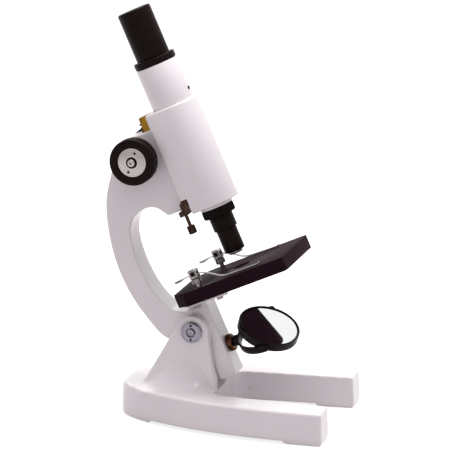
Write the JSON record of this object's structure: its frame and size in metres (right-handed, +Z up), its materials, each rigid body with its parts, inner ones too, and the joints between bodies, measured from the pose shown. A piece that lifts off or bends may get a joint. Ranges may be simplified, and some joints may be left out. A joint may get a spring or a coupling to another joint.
{
  "type": "microscope",
  "caption": "Monocular school microscope with a leaning arm, rack focusing tube, square stage with spring clips and a swivelling mirror on a horseshoe base.",
  "frame": {"origin": "on the table, under the middle of the object's bounding box in the pose it is stored in", "axes": "+Z up, +X towards the ends of the base's legs, +Y across the object"},
  "size_m": [0.1974, 0.1356, 0.3408],
  "materials": {
    "white_enamel": "gloss enamel over cast metal",
    "black_moulding": "satin black",
    "stage_black": "satin black enamel",
    "mirror_frame_black": "semi-gloss black",
    "bright_steel": "turned and plated",
    "slide_brass": "milled",
    "dark_bronze": "dark bronzed",
    "lens_glass": "polished",
    "mirror_glass": "silvered"
  },
  "bodies": {
    "stand": {"base_casting": "white_enamel", "hinge_pin": "bright_steel", "hinge_disc_near": "bright_steel", "hinge_disc_far": "bright_steel"},
    "arm": {"arm_casting": "white_enamel", "stage_plate": "stage_black", "stage_screw_near": "bright_steel", "stage_screw_far": "bright_steel", "clip_post_near": "bright_steel", "clip_post_far": "bright_steel", "mirror_nut": "dark_bronze", "rack_stop_block": "dark_bronze"},
    "body_tube": {"body_housing": "white_enamel", "draw_tube": "white_enamel", "tube_collar": "black_moulding", "set_screw_rear": "black_moulding", "set_screw_front": "black_moulding", "focus_slide": "slide_brass", "focus_rack": "slide_brass", "objective_mount_ring": "white_enamel", "objective_flange": "black_moulding", "objective_barrel": "black_moulding", "objective_tip": "black_moulding", "objective_front_ring": "bright_steel", "objective_front_lens": "lens_glass"},
    "eyepiece": {"eyepiece_shell": "black_moulding", "eye_lens": "lens_glass", "field_lens": "lens_glass"},
    "pinion": {"pinion_shaft": "bright_steel", "focus_knob_near": "black_moulding", "focus_knob_far": "black_moulding", "knob_disc_near": "bright_steel", "knob_disc_far": "bright_steel", "hub_cap_near": "bright_steel", "hub_cap_far": "bright_steel"},
    "clip_near": {"clip_cap_near": "bright_steel", "clip_leaf_near": "bright_steel"},
    "clip_far": {"clip_cap_far": "bright_steel", "clip_leaf_far": "bright_steel"},
    "fork": {"mirror_fork": "mirror_frame_black", "mirror_screw_near": "mirror_frame_black", "mirror_screw_far": "mirror_frame_black"},
    "mirror": {"mirror_cell": "mirror_frame_black", "mirror_glass_plane": "mirror_glass", "mirror_glass_concave": "mirror_glass"},
    "stop_screw": {"rack_stop_screw": "dark_bronze"}
  },
  "joints": [
    {"name": "inclination", "type": "hinge", "parent": "stand", "child": "arm", "pos_m": [-0.02279, 0, 0.0745], "axis": [0, 1, 0], "range_deg": [-36, 23.5]},
    {"name": "coarse_focus", "type": "slide", "parent": "arm", "child": "body_tube", "axis": [-0.4035, 0, 0.915], "range_m": [0, 0.03]},
    {"name": "pinion_turn", "type": "hinge", "parent": "arm", "child": "pinion", "pos_m": [-0.0696, 0, 0.21583], "axis": [0, 1, 0], "range_deg": [-230, 5]},
    {"name": "eyepiece_lift", "type": "slide", "parent": "body_tube", "child": "eyepiece", "axis": [-0.4035, 0, 0.915], "range_m": [0, 0.045]},
    {"name": "clip_near_swivel", "type": "hinge", "parent": "arm", "child": "clip_near", "pos_m": [-0.01468, -0.0345, 0.12179], "axis": [-0.4035, 0, 0.915], "range_deg": [-30, 45]},
    {"name": "clip_far_swivel", "type": "hinge", "parent": "arm", "child": "clip_far", "pos_m": [-0.01468, 0.0345, 0.12179], "axis": [-0.4035, 0, 0.915], "range_deg": [-45, 30]},
    {"name": "fork_spin", "type": "hinge", "parent": "arm", "child": "fork", "pos_m": [0.03653, 0, 0.07607], "axis": [0.915, 0, 0.4035], "continuous": true},
    {"name": "mirror_tilt", "type": "hinge", "parent": "fork", "child": "mirror", "pos_m": [0.03653, 0, 0.07607], "axis": [-0.1512, 0.9272, 0.3427], "continuous": true},
    {"name": "stop_screw_turn", "type": "hinge", "parent": "arm", "child": "stop_screw", "pos_m": [-0.02451, -0.0166, 0.16118], "axis": [-0.4035, 0, 0.915], "continuous": true}
  ],
  "couplings": [
    {"joint": "pinion_turn", "follows": "coarse_focus", "rad_per_m": -129.03}
  ]
}
